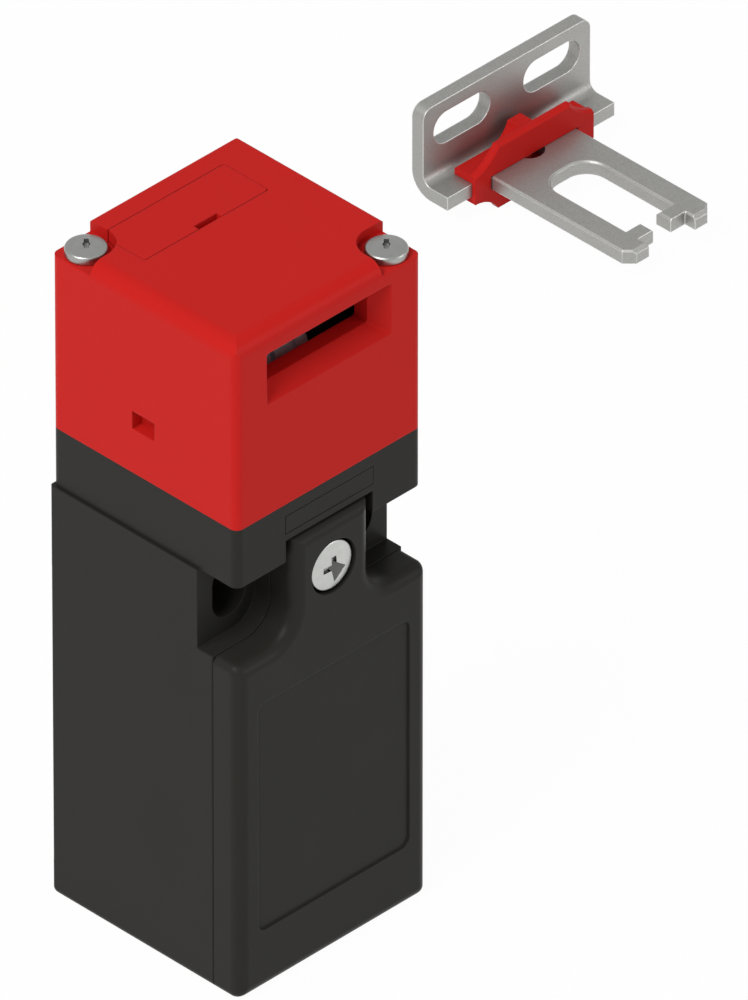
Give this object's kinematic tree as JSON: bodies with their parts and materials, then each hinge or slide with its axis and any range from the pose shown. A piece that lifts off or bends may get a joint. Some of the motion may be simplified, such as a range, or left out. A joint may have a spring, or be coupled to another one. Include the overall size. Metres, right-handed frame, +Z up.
{
  "type": "tongue interlock switch",
  "caption": "Safety interlock switch with a red tongue head on a slim black body, and a separate bent steel tongue actuator",
  "frame": {"origin": "axis of the conduit entry at the underside of the body, which is also the axis of the plunger", "axes": "+Z up through the head, -Y towards the cover and the front slot, X across the front; the actuator stands to the right and behind, its tongue along -Y"},
  "size_m": [0.1512, 0.0961, 0.0896],
  "materials": {
    "black_body": "fine moulded texture, satin to matt",
    "black_inner": "smooth moulded, satin",
    "red_plastic": "fine moulded texture, satin",
    "pale_block": "moulded insulating plastic",
    "seal_rubber": "soft rubber",
    "zinc_steel": "zinc plated, slightly dull",
    "ground_steel": "turned and ground",
    "spring_steel": "drawn wire",
    "sheet_steel": "stamped and bent sheet, fine grain",
    "contact_brass": "plain turned and stamped brass"
  },
  "bodies": {
    "switch": {"body_housing": "black_body", "cover_gasket": "seal_rubber", "cover_insert": "contact_brass", "head_base": "black_body", "head_clip": "black_body", "head_seal": "seal_rubber", "head_inserts": "contact_brass", "head_cap": "red_plastic", "head_screws": "zinc_steel", "drum_axle": "ground_steel", "left_cheek": "black_inner", "right_cheek": "black_inner", "plunger_spring": "spring_steel", "plunger_seal": "seal_rubber", "contact_block": "pale_block", "contact_spring": "spring_steel", "signal_contacts": "contact_brass", "safety_contacts": "contact_brass", "terminal_clamps": "zinc_steel", "terminal_screws": "zinc_steel"},
    "drum": {"cam_drum": "ground_steel"},
    "plunger_rod": {"plunger": "black_inner"},
    "contact_slide": {"contact_carrier": "black_inner", "moving_bridges": "contact_brass"},
    "top_plug": {"slot_plug": "red_plastic"},
    "cover": {"front_cover": "black_body", "cover_screw": "zinc_steel"},
    "actuator": {"tongue_bracket": "sheet_steel", "tongue_guide": "red_plastic"}
  },
  "joints": [
    {"name": "drum_turn", "type": "hinge", "parent": "switch", "child": "drum", "pos_m": [0, 0, 0.07495], "axis": [-1, 0, 0], "range_deg": [0, 79]},
    {"name": "plunger_travel", "type": "slide", "parent": "switch", "child": "plunger_rod", "axis": [0, 0, 1], "range_m": [0, 0.0025], "deforming": ["plunger_spring"]},
    {"name": "contact_travel", "type": "slide", "parent": "switch", "child": "contact_slide", "axis": [0, 0, 1], "range_m": [0, 0.0025], "deforming": ["contact_spring"]},
    {"name": "plug_lift", "type": "slide", "parent": "switch", "child": "top_plug", "axis": [0, 0, 1], "range_m": [0, 0.015]},
    {"name": "cover_off", "type": "slide", "parent": "switch", "child": "cover", "axis": [0, -1, 0], "range_m": [0, 0.04]},
    {"name": "actuator_slide", "type": "slide", "parent": "switch", "child": "actuator", "axis": [0, -1, 0], "range_m": [0, 0.03]}
  ],
  "couplings": [
    {"joint": "plunger_travel", "follows": "drum_turn", "m_per_rad": 0.0018132},
    {"joint": "contact_travel", "follows": "drum_turn", "m_per_rad": 0.0018132}
  ]
}
